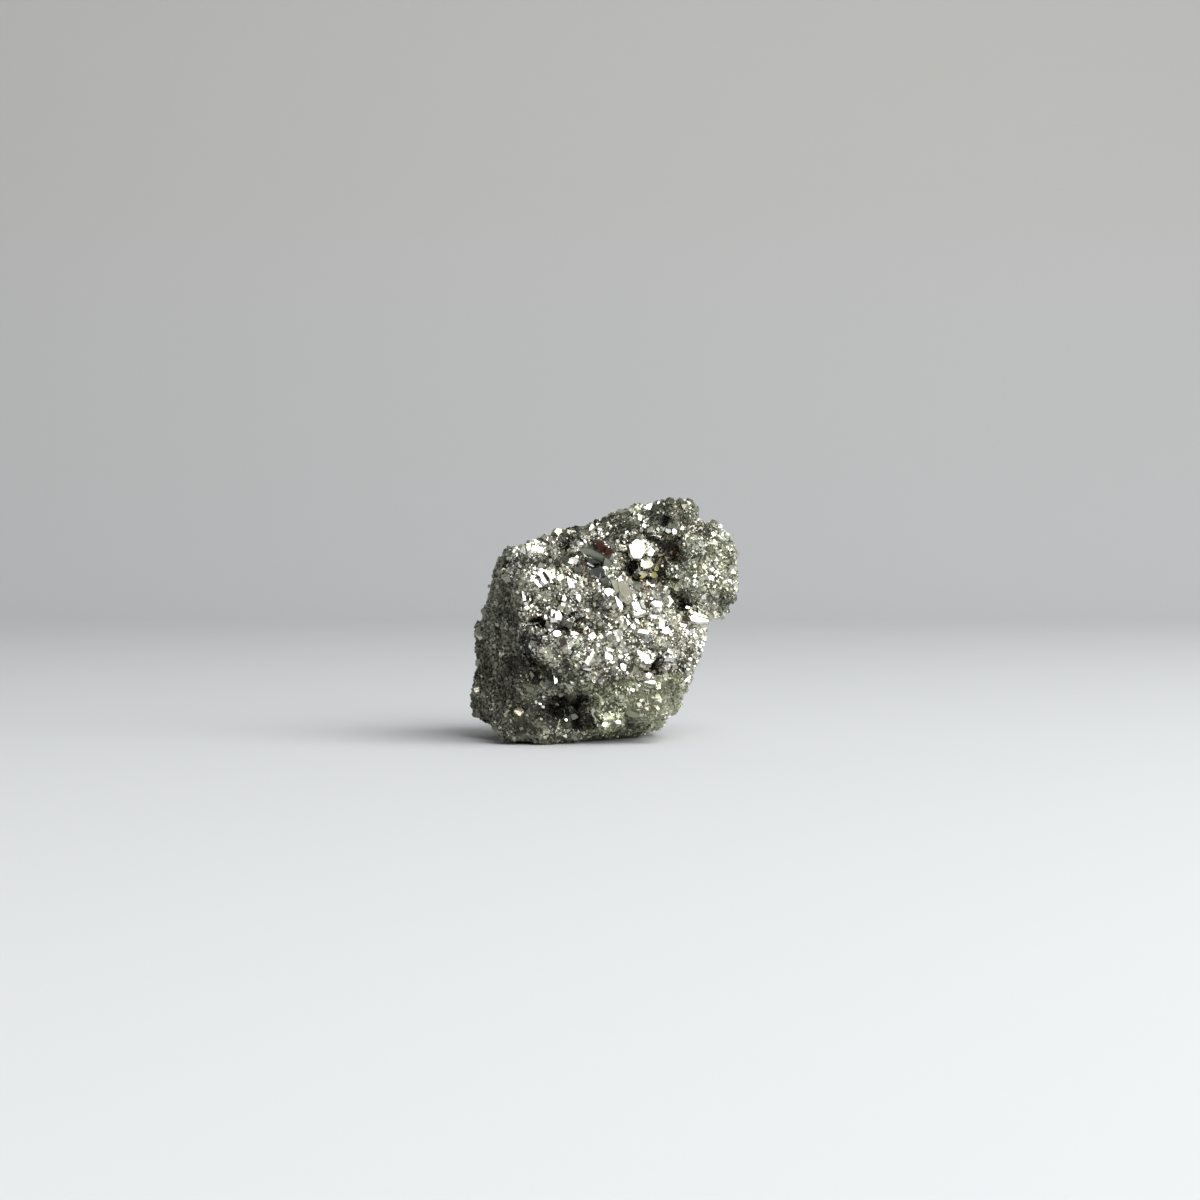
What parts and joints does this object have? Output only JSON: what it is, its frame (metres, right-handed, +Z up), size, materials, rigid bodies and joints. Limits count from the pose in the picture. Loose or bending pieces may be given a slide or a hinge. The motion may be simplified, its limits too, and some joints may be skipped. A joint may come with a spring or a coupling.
{
  "type": "pyrite cluster",
  "caption": "Rough pyrite specimen: a blocky lump of intergrown metallic crystals with a flat broken side, a rounded lobe at one top corner and small hollows, resting on its base.",
  "frame": {"origin": "centre of the bounding box in plan, on the plane that the stone rests on", "axes": "+Z up, +Y away from the bright crystal front, +X towards the rounded lobe, along the longest side"},
  "size_m": [0.0378, 0.0316, 0.0335],
  "materials": {
    "pyrite": "metallic crystal grains, bright on fresh faces and dull olive grey where worn"
  },
  "bodies": {
    "root": {"pyrite_cluster": "pyrite"}
  },
  "joints": []
}
